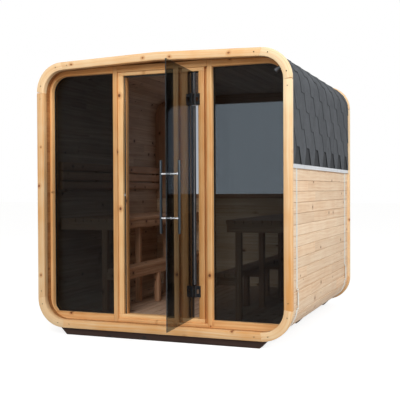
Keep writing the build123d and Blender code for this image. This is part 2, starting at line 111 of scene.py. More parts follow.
class Shader:
    """One material and short names for the nodes that it is made of."""

    def __init__(self, name):
        self.material = bpy.data.materials.new(name)
        self.material.use_nodes = True
        self.tree = self.material.node_tree
        self.tree.nodes.clear()
        self.surface = self.node("BsdfPrincipled")
        self.output = self.node("OutputMaterial", self.surface.outputs[0])

    def node(self, kind, *values, **settings):
        return add_node(self.tree, kind, *values, **settings)

    def set(self, **inputs):
        for name, value in inputs.items():
            feed(self.tree, self.surface.inputs[name.replace("_", " ")], value)

    def place(self):
        return self.node("TexCoord").outputs["Object"]

    def board(self):
        """Tone, warmth and knottiness of the board."""
        return self.split(self.node("Attribute", attribute_name="board").outputs["Color"])

    def split(self, vector):
        return self.node("SeparateXYZ", vector).outputs

    def join(self, x, y, z):
        return self.node("CombineXYZ", x, y, z).outputs[0]

    def maths(self, operation, *values):
        return self.node("Math", *values, operation=operation).outputs[0]

    def times(self, first, second):
        return self.maths("MULTIPLY", first, second)

    def vector(self, operation, *values):
        outputs = self.node("VectorMath", *values, operation=operation).outputs
        return outputs["Value"] if operation == "LENGTH" else outputs[0]

    def noise(self, vector, scale, detail, roughness=0.5):
        return self.node("TexNoise", Vector=vector, Scale=scale, Detail=detail, Roughness=roughness).outputs[0]

    def voronoi(self, vector, scale, dimensions="3D"):
        return self.node("TexVoronoi", voronoi_dimensions=dimensions, Vector=vector, Scale=scale).outputs

    def remap(self, value, low, high, to_low=0.0, to_high=1.0, smooth=False):
        kind = "SMOOTHSTEP" if smooth else "LINEAR"
        return self.node("MapRange", value, low, high, to_low, to_high, interpolation_type=kind).outputs[0]

    def mix(self, share, first, second, blend="MIX"):
        node = self.node("Mix", share, data_type="RGBA", blend_type=blend)
        feed(self.tree, node.inputs[6], first)
        feed(self.tree, node.inputs[7], second)
        return node.outputs[2]

    def bump(self, height, distance, strength):
        return self.node("Bump", Strength=strength, Distance=distance, Height=height).outputs[0]


def timber(name, *tones, knot_share=0.5, roughness=0.55, figure=1.0):
    """Planed softwood in four tones: pale, warm, streak and knot. Attribute grain holds the place along, across
    and through each board in metres, and attribute board its tone, warmth and knottiness; on some front ring
    members the tone also carries painted light. figure is the strength of the grain lines."""
    pale, warm, streak, knot = (srgb(tone) for tone in tones)
    s = Shader(name)
    grain = s.node("Attribute", attribute_name="grain").outputs["Vector"]
    tone, warmth, knotty = s.board()
    along, across, through = s.split(grain)

    cell = s.vector("DIVIDE", grain, (0.23, 0.088, 1.0))
    found = s.voronoi(cell, 1.0, "2D")
    offset = s.vector("MULTIPLY", s.vector("SUBTRACT", cell, found["Position"]), (0.19, 0.088, 0.0))
    distance = s.vector("LENGTH", offset)
    size_draw, kind_draw, _ = s.split(found["Color"])
    present = s.maths("LESS_THAN", kind_draw, s.times(knotty, knot_share))
    size = s.times(s.remap(size_draw, 0.0, 1.0, 0.004, 0.0125), present)
    reach = s.maths("DIVIDE", distance, s.maths("MAXIMUM", size, 0.0005))
    core = s.remap(reach, 1.15, 0.75, smooth=True)
    halo = s.times(s.remap(reach, 3.2, 1.0, smooth=True), present)

    bent = s.maths("MULTIPLY_ADD", s.maths("SUBTRACT", distance, across), s.times(halo, 0.8), across)
    bent = s.maths("MULTIPLY_ADD", s.noise(s.join(s.times(along, 1.7), across, through), 1.0, 2.0), 0.035, bent)
    broad = s.noise(s.join(s.times(along, 0.9), s.times(bent, 62.0), s.times(through, 62.0)), 1.0, 2.5, 0.6)
    fine = s.noise(s.join(s.times(along, 5.0), s.times(bent, 330.0), s.times(through, 330.0)), 1.0, 2.0, 0.6)
    cloud = s.noise(grain, 4.5, 2.0)

    spread = 0.15 / figure
    figured = s.remap(broad, 0.51 - spread, 0.51 + spread, 0.5 - 0.5 * figure, 0.5 + 0.5 * figure)
    warm_share = s.maths("ADD", figured, s.maths("MULTIPLY_ADD", warmth, 1.0, -0.5))
    warm_share = s.maths("ADD", warm_share, s.remap(cloud, 0.3, 0.7, -0.16, 0.16))
    colour = s.mix(s.remap(warm_share, 0.0, 1.0), pale, warm)
    lines = s.times(s.remap(fine, 0.5, 0.74), s.remap(broad, 0.38, 0.6, 0.15 * figure, 0.6 * figure))
    colour = s.mix(lines, colour, streak)
    colour = s.mix(s.times(halo, 0.55), colour, streak)
    colour = s.mix(core, colour, knot)
    # The board's tone scales its brightness; where a member's tone is set for the light on it, this is painted
    # light
    shade = s.remap(tone, 0.0, 1.0, 0.8, 1.1)
    colour = s.mix(1.0, colour, s.join(shade, shade, shade), "MULTIPLY")

    height = s.maths("MULTIPLY_ADD", broad, 0.5, s.times(fine, 0.5))
    height = s.maths("MULTIPLY_ADD", core, 0.35, height)
    s.set(Base_Color=colour, Normal=s.bump(height, 0.0007, 0.6), Specular_IOR_Level=0.3,
          Roughness=s.remap(fine, 0.2, 0.8, roughness - 0.08, roughness + 0.1))
    return s.material


def shingle_felt():
    """Mineral granules on bitumen, with the tone of each tab a little different."""
    s = Shader("shingle_felt")
    place = s.place()
    tone, dark, _ = s.board()
    speck, _, _ = s.split(s.voronoi(place, 520.0)["Color"])
    patch = s.noise(place, 9.0, 3.0)
    level = s.maths("MULTIPLY_ADD", tone, 0.16, s.maths("MULTIPLY_ADD", patch, 0.5, s.times(speck, 0.5)))
    colour = s.mix(s.remap(level, 0.2, 0.95), srgb((58, 61, 65)), srgb((98, 101, 106)))
    colour = s.mix(dark, colour, srgb((20, 20, 21)))
    s.set(Base_Color=colour, Normal=s.bump(speck, 0.0012, 0.7), Specular_IOR_Level=0.25,
          Roughness=s.remap(speck, 0.0, 1.0, 0.8, 0.96))
    return s.material


def metal(name, tone, roughness, brush, metallic=1.0, grime=None):
    """Metal with fine brushing along the axis whose stretch is smallest, and soft smudges."""
    s = Shader(name)
    colour, place = srgb(tone), s.place()
    lines = s.noise(s.vector("MULTIPLY", place, brush), 1.0, 3.0, 0.6)
    smudge = s.noise(place, 14.0, 3.0)
    darker = dimmed(colour, 0.72)
    mixed = s.mix(s.remap(lines, 0.3, 0.7), darker, colour)
    mixed = s.mix(s.remap(smudge, 0.55, 0.8, 0.0, 0.5), mixed, srgb(grime) if grime else darker)
    s.set(Base_Color=mixed, Metallic=metallic, Normal=s.bump(lines, 0.0002, 0.4),
          Roughness=s.remap(smudge, 0.3, 0.75, roughness - 0.06, roughness + 0.12))
    return s.material


def glass(name, tint, gloss_ior):
    """Tinted sheet glass: what is behind it shows through the tint, and the gloss grows towards the edges."""
    s = Shader(name)
    s.tree.nodes.remove(s.surface)
    far_face = s.node("NewGeometry").outputs["Backfacing"]
    fresnel = s.node("Fresnel", s.maths("MULTIPLY_ADD", far_face, 1 / gloss_ior - gloss_ior, gloss_ior))
    clear = s.node("BsdfTransparent", Color=tint)
    gloss = s.node("BsdfGlossy", Color=(0.9, 0.95, 1.0, 1.0), Roughness=0.0)
    mixer = s.node("MixShader", fresnel.outputs[0], clear.outputs[0], gloss.outputs[0])
    feed(s.tree, s.output.inputs[0], mixer.outputs[0])
    return s.material


def moulded(name, tone, roughness):
    """Plastic or rubber with a faint moulded texture."""
    s = Shader(name)
    colour, place = srgb(tone), s.place()
    cells = s.noise(place, 900.0, 2.0)
    cloud = s.noise(place, 30.0, 2.0)
    s.set(Base_Color=s.mix(s.remap(cloud, 0.3, 0.7), dimmed(colour, 0.75), colour),
          Normal=s.bump(cells, 0.0002, 0.5),
          Roughness=s.remap(cells, 0.3, 0.7, roughness - 0.05, roughness + 0.08))
    return s.material


ring_timber = timber("ring_timber", (252, 226, 184), (232, 168, 98), (204, 134, 72), (146, 90, 50),
                     knot_share=0.35, figure=0.6)
wall_timber = timber("wall_timber", (246, 222, 192), (224, 184, 144), (184, 138, 98), (128, 86, 56),
                     knot_share=0.25, figure=0.75)
# Inside timbers are darker, greyer copies of the outside ones: painted shade of the cabin's dim inside
lining_shade_timber = timber("lining_shade_timber", (222, 198, 176), (186, 154, 130), (138, 108, 86), (80, 58, 44),
                       knot_share=0.25, roughness=0.6, figure=0.8)
frame_timber = timber("frame_timber", (250, 208, 150), (224, 156, 88), (186, 116, 60), (116, 68, 36),
                      knot_share=0.3, figure=0.7)
# Darker copy of the frame timber for the benches and inside frames: painted shade of the dim inside
inner_timber = timber("inner_timber", (206, 164, 132), (168, 122, 90), (126, 84, 58), (74, 44, 30),
                      roughness=0.6, figure=0.8)
# Darker copy for the shell's inner faces in the front recess: painted shade of the soffit and reveals
recess_shade_timber = timber("recess_shade_timber", (196, 140, 84), (160, 102, 54), (128, 76, 38), (80, 46, 26),
                       knot_share=0.3, figure=0.7)
floor_timber = timber("floor_timber", (214, 184, 160), (176, 140, 114), (136, 100, 76), (82, 54, 40),
                      knot_share=0.4, roughness=0.6, figure=0.8)
beam_timber = timber("beam_timber", (60, 38, 28), (42, 25, 18), (28, 17, 13), (18, 12, 10),
                     knot_share=0.4, roughness=0.65)
shingle_material = shingle_felt()
# Black bitumen of the tabs' cut edges and undersides, which also draws the shadow lines under the tab edges:
# partly painted shadow
cut_felt_and_shadow = moulded("cut_felt_and_shadow", (24, 24, 26), 0.85)
drip_metal = metal("drip_metal", (222, 225, 229), 0.42, (60.0, 2.0, 300.0), 0.75)
band_steel = metal("band_steel", (232, 230, 222), 0.42, (500.0, 500.0, 5.0), 0.6, (190, 182, 168))
handle_metal = metal("handle_metal", (52, 60, 66), 0.32, (700.0, 700.0, 8.0), 0.6)
black_metal = metal("black_metal", (34, 34, 36), 0.38, (200.0, 200.0, 200.0), 0.35)
lamp_metal = metal("lamp_metal", (84, 88, 92), 0.4, (260.0, 260.0, 260.0), 0.5)
bright_steel = metal("bright_steel", (226, 228, 230), 0.22, (900.0, 900.0, 900.0))
screw_steel = metal("screw_steel", (150, 128, 98), 0.45, (900.0, 900.0, 900.0), 0.5)
front_glass = glass("front_glass", (0.475, 0.505, 0.52, 1.0), 1.14)
door_glass_material = glass("door_glass", (0.29, 0.32, 0.345, 1.0), 1.5)
rear_glass = glass("rear_glass", (0.64, 0.655, 0.68, 1.0), 1.2)
seal_rubber = moulded("seal_rubber", (26, 25, 25), 0.6)
seal_plastic = moulded("seal_plastic", (170, 162, 160), 0.35)
catch_plastic = moulded("catch_plastic", (206, 204, 198), 0.4)
lens_plastic = moulded("lens_plastic", (236, 232, 218), 0.2)

# Glass, bands and hinges keep the shapes of the frame
for node, material in (("front_windows", front_glass), ("rear_window", rear_glass),
                       ("door_glass", door_glass_material), ("tension_bands", band_steel),
                       ("hinge_brackets", black_metal), ("door_hinges", black_metal)):
    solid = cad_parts[node]
    solid.data.materials.clear()
    solid.data.materials.append(material)


# Meshes
def add_object(name, data):
    """New object of the scene."""
    made = bpy.data.objects.new(name, data)
    bpy.context.scene.collection.objects.link(made)
    return made


class Piece:
    """Collects the members of one visible piece, with the grain coordinates and tone of each."""

    def __init__(self, name):
        self.name = name
        self.points, self.faces, self.grain, self.board, self.kinds = [], [], [], [], []

    def loft(self, rings, board=None, kind=0, far_board=None):
        """Skin through closed rings of points, each with its place in the board. kind is one material number,
        or one for each side of the ring and one for the ends, or a list of such lists for the steps from ring
        to ring, and the board's tone may change to far_board along the member."""
        start, count = len(self.points), len(rings[0])
        kinds = [kind] * (count + 1) if isinstance(kind, int) else kind
        steps = kinds if isinstance(kinds[0], list) else [kinds] * (len(rings) - 1)
        shift = (chance.uniform(0, 60), chance.uniform(0, 6), 0.0)
        board = board or draw_board()
        far_board = far_board or board
        places = [ring[0][1][0] for ring in rings]
        reach = (places[-1] - places[0]) or 1.0
        for ring, place in zip(rings, places):
            share = (place - places[0]) / reach
            self.points += [tuple(point) for point, _ in ring]
            self.grain += [tuple(g + m for g, m in zip(grain, shift)) for _, grain in ring]
            self.board += [tuple(a + (b - a) * share for a, b in zip(board, far_board)) + (1.0,)] * count
        for row, numbers in enumerate(steps):
            low = start + row * count
            for k in range(count):
                after = (k + 1) % count
                self.faces.append((low + k, low + after, low + count + after, low + count + k))
                self.kinds.append(numbers[k])
        last = start + (len(rings) - 1) * count
        self.faces.append(tuple(range(start + count - 1, start - 1, -1)))
        self.faces.append(tuple(range(last, last + count)))
        self.kinds += [steps[0][-1], steps[-1][-1]]

    def stick(self, low, high, radius=0.003, axis=None, board=None, face=None):
        """Straight member with rounded edges between two corners, its grain along its longest side and
        its knots on the faces that lie across the axis face."""
        sizes = [b - a for a, b in zip(low, high)]
        axis = sizes.index(max(sizes)) if axis is None else axis
        wide, deep = [k for k in range(3) if k != axis]
        flat = sizes[wide] >= sizes[deep] if face is None else face == wide
        rings = []
        for place, inset in eased(low[axis], high[axis], min(radius, 0.0025) * 0.6):
            ring = []
            for a, b in rounded(sizes[wide] - 2 * inset, sizes[deep] - 2 * inset, radius - inset * 0.5):
                point = [place] * 3
                point[wide] = low[wide] + inset + a
                point[deep] = low[deep] + inset + b
                ring.append((point, (place, a, b) if flat else (place, b, a)))
            rings.append(ring)
        self.loft(rings, board)

    def arch(self, outer, inner, low_y, high_y, board, far_board=None, radius=0.004):
        """Member in the plane of an end wall between two lines of points, from low_y to high_y, with its
        ends eased by end_ease."""
        pairs = list(zip(outer, inner))
        middles = [((far[0] + near[0]) / 2, (far[1] + near[1]) / 2) for far, near in pairs]
        runs = [0.0]
        for here, after in zip(middles, middles[1:]):
            runs.append(runs[-1] + math.dist(here, after))
        first_share = end_ease / (runs[1] - runs[0])
        last_share = end_ease / (runs[-1] - runs[-2])
        stations = [(pairs[0], 0.0, end_ease), (between(pairs[0], pairs[1], first_share), end_ease, 0.0)]
        stations += [(pair, run, 0.0) for pair, run in zip(pairs[1:-1], runs[1:-1])]
        stations += [(between(pairs[-1], pairs[-2], last_share), runs[-1] - end_ease, 0.0),
                     (pairs[-1], runs[-1], end_ease)]
        rings = []
        for (far, near), run, inset in stations:
            wide = math.dist(far, near)
            x_step, z_step = (far[0] - near[0]) / wide, (far[1] - near[1]) / wide
            section = rounded(wide - 2 * inset, high_y - low_y - 2 * inset, radius)
            rings.append([((near[0] + x_step * (a + inset), low_y + inset + b, near[1] + z_step * (a + inset)),
                           (run, a, b)) for a, b in section])
        self.loft(rings, board, far_board=far_board)

    def turned(self, start, end, profile, sides=32, kind=0):
        """Round member about the line from start to end; profile lists (distance along, radius)."""
        start, end = Vector(start), Vector(end)
        axis = (end - start).normalized()
        side = axis.orthogonal().normalized()
        up = axis.cross(side)
        angles = [2 * math.pi * k / sides for k in range(sides)]
        rings = [[(start + axis * reach + side * (radius * math.cos(angle)) + up * (radius * math.sin(angle)),
                   (reach, radius * angle, 0.0)) for angle in angles] for reach, radius in profile]
        self.loft(rings, kind=kind)

    def finish(self, materials, slot, nodes=(), body="cabin", smooth=32):
        """Make the object, give it its materials, and put it on its body in place of nodes."""
        mesh = bpy.data.meshes.new(self.name)
        mesh.from_pydata(self.points, [], self.faces)
        for name, kind, field, values in (("grain", "FLOAT_VECTOR", "vector", self.grain),
                                          ("board", "FLOAT_COLOR", "color", self.board)):
            layer = mesh.attributes.new(name, kind, "POINT")
            layer.data.foreach_set(field, [level for value in values for level in value])
        for material in materials:
            mesh.materials.append(material)
        mesh.polygons.foreach_set("material_index", self.kinds)
        mesh.validate()
        solid = add_object(self.name, mesh)
        outward(mesh)
        mesh.shade_smooth()
        mesh.set_sharp_from_angle(angle=math.radians(smooth))
        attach(solid, body)
        if nodes:
            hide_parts(*nodes)


def outward(mesh):
    """Turn all faces of a mesh to the outside."""
    work = bmesh.new()
    work.from_mesh(mesh)
    bmesh.ops.recalc_face_normals(work, faces=work.faces)
    work.to_mesh(mesh)
    work.free()


def between(here, there, share):
    """Pair of points a share of the way from one pair to another."""
    return tuple(tuple(a + (b - a) * share for a, b in zip(p, q)) for p, q in zip(here, there))


def draw_board():
    """Tone, warmth and knottiness of one board."""
    return chance.uniform(0.35, 0.85), chance.uniform(0.3, 0.7), chance.uniform(0.4, 1.0)


def eased(low, high, ease):
    """Places along a member and how far its section is pulled in there, to ease its two ends."""
    return [(low, ease), (low + ease, 0.0), (high - ease, 0.0), (high, ease)]


def rounded(wide, high, radius, steps=2):
    """Corners of a rectangle from 0 to wide and 0 to high with rounded corners."""
    radius = min(radius, wide * 0.49, high * 0.49)
    loop = []
    for a, b, first in ((wide - radius, radius, -90), (wide - radius, high - radius, 0),
                        (radius, high - radius, 90), (radius, radius, 180)):
        for k in range(steps + 1):
            turn = math.radians(first + 90 * k / steps)
            loop.append((a + radius * math.cos(turn), b + radius * math.sin(turn)))
    return loop


def arc(centre, radius, first, last, steps):
    """Points on an arc in the plane of an end wall, angles in radians from +X."""
    turns = [first + (last - first) * k / steps for k in range(steps + 1)]
    return [(centre[0] + radius * math.cos(t), centre[1] + radius * math.sin(t)) for t in turns]


def mirrored(points):
    return [(-x, z) for x, z in points]


def mirror_box(low, high, hand):
    """The same box on the right (1) or left (-1) side."""
    ends = sorted((hand * low[0], hand * high[0]))
    return (ends[0], low[1], low[2]), (ends[1], high[1], high[2])


def both_ends(half, length):
    """Turned profile of a given length from its first half."""
    return half + [(length - reach, radius) for reach, radius in reversed(half)]


class Outline:
    """Right half of the cabin's cross-section, pulled in by inset, from the bottom middle to the ridge."""

    def __init__(self, inset, radius):
        self.side = half_width - inset
        self.low = ground_gap + inset
        self.ridge = ridge - inset
        self.radius = radius
        self.turn_x = self.side - radius
        self.lower_z = self.low + radius
        self.upper_z = self.ridge - roof_fall * self.turn_x - radius * math.hypot(1, roof_fall)
        self.sweep = math.pi / 2 - math.atan(roof_fall)
        tangent_x = self.turn_x + radius * math.cos(self.sweep)
        self.lengths = (self.turn_x, radius * math.pi / 2, self.upper_z - self.lower_z, radius * self.sweep,
                        tangent_x * math.hypot(1, roof_fall))
        self.total = sum(self.lengths)

    def side_place(self, height):
        """Distance along the outline of a height on the straight side."""
        return self.lengths[0] + self.lengths[1] + height - self.lower_z

    def part(self, place):
        """Number of the length that holds a place: bottom, lower bend, side, upper bend or roof."""
        for number, length in enumerate(self.lengths[:-1]):
            if place < length:
                return number
            place -= length
        return len(self.lengths) - 1

    def at(self, place, out=0.0):
        """Point (x, z) at a distance along the outline, moved out of it by out."""
        bottom, lower, side, upper, _ = self.lengths
        reach = self.radius + out
        if place <= bottom:
            return place, self.low - out
        place -= bottom
        if place <= lower:
            turn = -math.pi / 2 + place / self.radius
            return self.turn_x + reach * math.cos(turn), self.lower_z + reach * math.sin(turn)
        place -= lower
        if place <= side:
            return self.side + out, self.lower_z + place
        place -= side
        turn = min(place / self.radius, self.sweep)
        beyond, lie = max(0.0, place - upper), math.atan(roof_fall)
        return (self.turn_x + reach * math.cos(turn) - beyond * math.cos(lie),
                self.upper_z + reach * math.sin(turn) + beyond * math.sin(lie))


shell = Outline(board_inset, ring_radius - board_inset)


def shell_point(hand, y, place, out):
    """Point at a distance along the shell's outline on one side of the cabin, with its place in the board."""
    x, z = shell.at(place, out)
    return (hand * x, y, z), (y, place, out)


def level_grain(ring):
    """Points with their places in a board that runs along X."""
    return [((x, y, z), (x, z, y)) for x, y, z in ring]


# End rings
ring_parts = ("rails", "sides", "corners")
corner_setback, roof_setback, past_arc = 0.0095, 0.004, 0.001


def ring_pairs(steps=10):
    """Outer and inner lines of the ring's members on the right: bottom corner, side and top corner."""
    outer, inner = Outline(0, ring_radius), Outline(ring_face, ring_inner_radius)
    low_outer = arc((outer.turn_x, outer.lower_z), outer.radius, -math.pi / 2, 0, steps + 2)
    low_inner = [(joint_x - corner_setback, inner.low)]
    low_inner += arc((inner.turn_x, inner.lower_z), inner.radius, -math.pi / 2, 0, steps)
    low_inner.append((inner.side, max(joint_low, inner.lower_z + past_arc)))
    top_outer = arc((outer.turn_x, outer.upper_z), outer.radius, 0, outer.sweep, steps + 2)
    top_inner = [(inner.side, min(joint_high, inner.upper_z - past_arc))]
    top_inner += arc((inner.turn_x, inner.upper_z), inner.radius, 0, inner.sweep, steps)
    roof_x = inner.turn_x - roof_setback
    top_inner.append((roof_x, inner.ridge - roof_fall * roof_x))
    side_outer = [(half_width, joint_low), (half_width, joint_high)]
    return (low_outer, low_inner), (side_outer, [low_inner[-1], top_inner[0]]), (top_outer, top_inner)


def end_ring(name, low_y, high_y, boards):
    """One end ring of eight members: two rails, two sides and four corners."""
    low_corner, side, top_corner = ring_pairs()
    pieces = rails, sides, corners = [Piece(f"{name}_{part}_timber") for part in ring_parts]
    foot_x, foot_z = low_corner[1][0]
    rails.arch([(-joint_x, ground_gap), (joint_x, ground_gap)], [(-foot_x, foot_z), (foot_x, foot_z)],
               low_y, high_y, *boards["bottom"])
    (top_x, top_z), (inner_x, inner_z) = top_corner[0][-1], top_corner[1][-1]
    rails.arch([(-top_x, top_z), (0, ridge), (top_x, top_z)],
               [(-inner_x, inner_z), (0, ridge - ring_face), (inner_x, inner_z)], low_y, high_y, *boards["top"])
    for hand, turned in (("right", list), ("left", mirrored)):
        for piece, (outer, inner), part in ((sides, side, "side"), (corners, low_corner, "low"),
                                            (corners, top_corner, "top")):
            piece.arch(turned(outer), turned(inner), low_y, high_y, *boards[f"{hand}_{part}"])
    for piece, part in zip(pieces, ring_parts):
        piece.finish([ring_timber], "ring_timber", [f"{name}_{part}"])


def even(*board):
    """The same tone from one end of a member to the other."""
    return board, board


# Tone, warmth and knottiness of each front ring member at its two ends. The bottom rail's light tone, lightest
# at its left end, is painted light for the light thrown up onto it from the ground.
front_ring_boards = {
    "bottom": ((1.0, 0.7, 0.6), (0.45, 0.7, 0.6)), "top": ((0.6, 0.45, 0.6), (0.65, 0.6, 0.6)),
    "right_side": ((0.35, 1.0, 0.4), (0.8, 0.05, 0.4)), "left_side": even(0.6, 0.6, 0.9),
    "right_low": even(0.6, 0.4, 0.4), "left_low": even(0.82, 0.35, 0.5),
    "right_top": even(0.6, 0.15, 0.4), "left_top": even(0.85, 0.35, 0.6),
}
end_ring("front_ring", front, ring_rear, front_ring_boards)
end_ring("rear_ring", rear_ring_front, rear, {part: even(*draw_board()) for part in front_ring_boards})

# Shell boards: their inner face is a darker timber as far as the glass, painted shade in the recess round the
# front frame
recess_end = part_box("front_windows")[0].y
bends = (1, 3)


def shell_board(piece, first, last, low_y, high_y, hand, board):
    """One board of the shell between two distances along the outline, on the right (1) or left (-1) side."""
    c, deep = board_chamfer, -board_thickness
    left, right = first + board_gap / 2, last - board_gap / 2
    stops = 4 if shell.part(first) in bends or shell.part(last) in bends else 1
    near, far = left + c, right - c
    outer = [near + (far - near) * k / stops for k in range(stops + 1)]
    section = [(place, 0.0) for place in outer]
    section += [(right, -c), (right, -tongue_depth), (last, -tongue_depth), (last, deep + c)]
    section += [(place, deep) for place in reversed(outer)]
    section += [(first, deep + c), (first, -tongue_depth), (left, -tongue_depth), (left, -c)]
    cuts = eased(low_y, high_y, end_ease)
    if low_y + end_ease < recess_end < high_y - end_ease:
        cuts.insert(2, (recess_end, 0.0))
    # Inner faces up to the glass take material 2, the painted shade of the recess
    inner = [2 if end <= recess_end else 1 for end, _ in cuts[1:]]
    kinds = [[0] * (stops + 2) + [number] * (stops + 5) + [0] * 3 for number in inner]
    rings = []
    for y, inset in cuts:
        ring = []
        for place, out in section:
            if out > -tongue_depth:
                place = min(max(place, left + inset), right - inset)
            ring.append(shell_point(hand, y, place, min(max(out, deep + inset), -inset)))
        rings.append(ring)
    piece.loft(rings, board, kinds)


def board_lengths(low_y, high_y):
    """Where the boards of one row meet end to end."""
    cut = chance.choice((None, 0.22, 0.36, 0.5, 0.64, 0.78, 0.3, 0.7))
    joints = [low_y + (high_y - low_y) * (cut + chance.uniform(-0.06, 0.06))] if cut else []
    ends = [low_y] + joints + [high_y]
    return list(zip(ends, ends[1:]))


def shell_boards():
    """Rows of boards all round the shell, one piece for each node that they stand for."""
    names = ("bottom_deck", "corner_boards", "right_wall", "left_wall", "roof_deck")
    pieces = {name: Piece(f"{name}_timber") for name in names}
    first = shell.side_place(board_joint_height) % board_pitch
    rows = int((shell.total - first) / board_pitch) + 1
    edges = [0.0] + [first + k * board_pitch for k in range(rows)] + [shell.total]
    for hand, wall in ((1, "right_wall"), (-1, "left_wall")):
        parts = ("bottom_deck", "corner_boards", wall, "corner_boards", "roof_deck")
        for start, end in zip(edges, edges[1:]):
            piece = pieces[parts[shell.part((start + end) / 2)]]
            for low_y, high_y in board_lengths(ring_rear, rear_ring_front):
                shell_board(piece, start, end, low_y, high_y, hand, draw_board())
    for name, piece in pieces.items():
        piece.finish([wall_timber, lining_shade_timber, recess_shade_timber], "wall_boards", [name])


shell_boards()

# Shingles
tab_rows, below_notch = 4, 0.0004
least_tab_height, least_tab_width = 0.02, 0.004
underlay_steps, underlay_foot, foot_overhang = 40, 0.0003, 0.05


def shingle_tab(piece, centre_y, notch, hand, low_limit):
    """One tab of a course: full width above the notch, narrowing below it, lifted by the courses under it."""
    whole = shingle_pitch / 2
    half, bottom_half = whole * (1 - notch_share), whole * tab_bottom
    top, bottom = notch + head_lap * shingle_course, max(notch - shingle_course, low_limit)
    if bottom > notch or top - bottom < least_tab_height:
        return
    rows = [(top + (notch - top) * k / tab_rows, whole) for k in range(tab_rows + 1)]
    for k in range(tab_rows + 1):
        place = notch - below_notch + (bottom - notch + below_notch) * k / tab_rows
        rows.append((place, half + (bottom_half - half) * (notch - place) / shingle_course))
    rings = []
    for place, reach in rows:
        left, right = (min(max(y, ring_rear), rear_ring_front) for y in (centre_y - reach, centre_y + reach))
        if right - left < least_tab_width:
            return
        lift = underlay_top + (top - place) / ((1 + head_lap) * shingle_course) * shingle_rise
        corners = ((left, lift), (right, lift), (right, lift + shingle_sheet), (left, lift + shingle_sheet))
        rings.append([shell_point(hand, y, min(place, shell.total), out) for y, out in corners])
    # Tab sides and ends take the black cut felt: bitumen, and painted shadow lines round each tab
    piece.loft(rings, (chance.random(), 0.0, 0.0), (1, 1, 0, 1, 1))


def underlay(piece, foot):
    """Dark felt under the tabs, seen between the lowest ones, on both sides up to the ridge."""
    corners = ((ring_rear, underlay_foot), (rear_ring_front, underlay_foot), (rear_ring_front, underlay_top),
               (ring_rear, underlay_top))
    places = [foot + (shell.total - foot) * k / underlay_steps for k in range(underlay_steps + 1)]
    for hand in (1, -1):
        piece.loft([[(shell_point(hand, y, place, out)[0], (0.0, 0.0, 0.0)) for y, out in corners]
                    for place in places], (0.3, 0.6, 0.0))


def shingle_roof():
    """Courses of tabs from the drip strips up both sides, over the corners to the ridge."""
    piece = Piece("shingles_laid")
    foot = shell.side_place(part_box("shingles")[0].z)
    underlay(piece, foot)
    first_notch = shell.side_place(first_notch_height)
    below = math.ceil((first_notch - foot) / shingle_course) + 1
    above = math.ceil((shell.total - first_notch) / shingle_course)
    for hand in (1, -1):
        for k in range(-below, above + 1):
            notch = first_notch + k * shingle_course
            if notch - shingle_course < foot - foot_overhang:
                continue
            start = front + first_notch_setback + (shingle_pitch / 2 if k % 2 else 0.0) - shingle_pitch * 1.5
            for tab in range(int((rear_ring_front - start) / shingle_pitch) + 2):
                shingle_tab(piece, start + tab * shingle_pitch, notch, hand, foot)
    piece.finish([shingle_material, cut_felt_and_shadow], "shingle_felt", ["shingles"], smooth=25)


shingle_roof()


def sheet_section(path, thickness):
    """Section of folded sheet; path lists (x, z) along its outer face, and the sheet lies to the left of it."""
    near = []
    for k, (x, z) in enumerate(path):
        before, after = path[max(k - 1, 0)], path[min(k + 1, len(path) - 1)]
        run = math.dist(before, after)
        x_step, z_step = (after[0] - before[0]) / run, (after[1] - before[1]) / run
        near.append((x + z_step * thickness, z - x_step * thickness))
    return path + near[::-1]


# Folded strip over the foot of the lowest shingles on each side: a face and a kicked-out lip
drip_low, drip_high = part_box("drip_strips")
drips, drip_base = Piece("drip_strips_folded"), half_width - board_inset
drip_section = sheet_section(
    [(drip_base + 0.0006, drip_high.z - 0.0004), (drip_base + 0.0088, drip_high.z - 0.0012),
     (drip_base + 0.0092, drip_low.z + 0.008), (drip_base + 0.0098, drip_low.z + 0.0014),
     (drip_base + 0.0078, drip_low.z + 0.0004), (drip_base + 0.0010, drip_low.z + 0.0060)], 0.0009)
for hand in (1, -1):
    drips.loft([[((hand * x, y, z), (y, z, x)) for x, z in drip_section] for y in (ring_rear, rear_ring_front)])
drips.finish([drip_metal], "drip_metal", ["drip_strips"], smooth=30)

# Dark cross beams with slanted ends; those at the ends are notched under the rings
beams, deck_low = Piece("base_beams_timber"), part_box("base_beams")[1].z
for low_y, high_y, top in ((-beam_depth / 2, beam_depth / 2, deck_low),
                           (front + beam_setback, ring_rear, ground_gap),
                           (ring_rear, front + beam_setback + beam_depth, deck_low),
                           (rear_ring_front, rear - beam_setback, ground_gap),
                           (rear - beam_setback - beam_depth, rear_ring_front, deck_low)):
    rings = []
    for side in (-1, 1):
        foot, head = side * beam_foot, side * (beam_foot + top)
        corners = [(foot, low_y, 0.0), (foot, high_y, 0.0), (head, high_y, top), (head, low_y, top)]
        rings.append(level_grain(corners))
    beams.loft(rings, (0.5, 0.5, 0.6))
beams.finish([beam_timber], "beam_timber", ["base_beams"])

# Front frame
frame_low, frame_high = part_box("front_posts")
frame_front, frame_rear, post_outer = frame_low.y, frame_high.y, frame_high.x
pane_low, pane_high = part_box("front_windows")
window_half, window_low, window_high = pane_high.x, pane_low.z, pane_high.z
window_radius, rear_window_radius, jamb_least, frame_edge = 0.140, 0.100, 0.008, 0.003
wall_line = Outline(wall_inset, ring_radius - wall_inset)


def ceiling(x):
    """Height of the sloping ceiling at x."""
    return wall_line.ridge - roof_fall * abs(x)


def wall_reach(height, inset=0.0):
    """Half the clear width inside the shell at a height, pulled in by inset."""
    drop = max(0.0, wall_line.lower_z - height)
    return wall_line.turn_x + math.sqrt(max(0.0, (wall_line.radius - inset) ** 2 - drop**2))


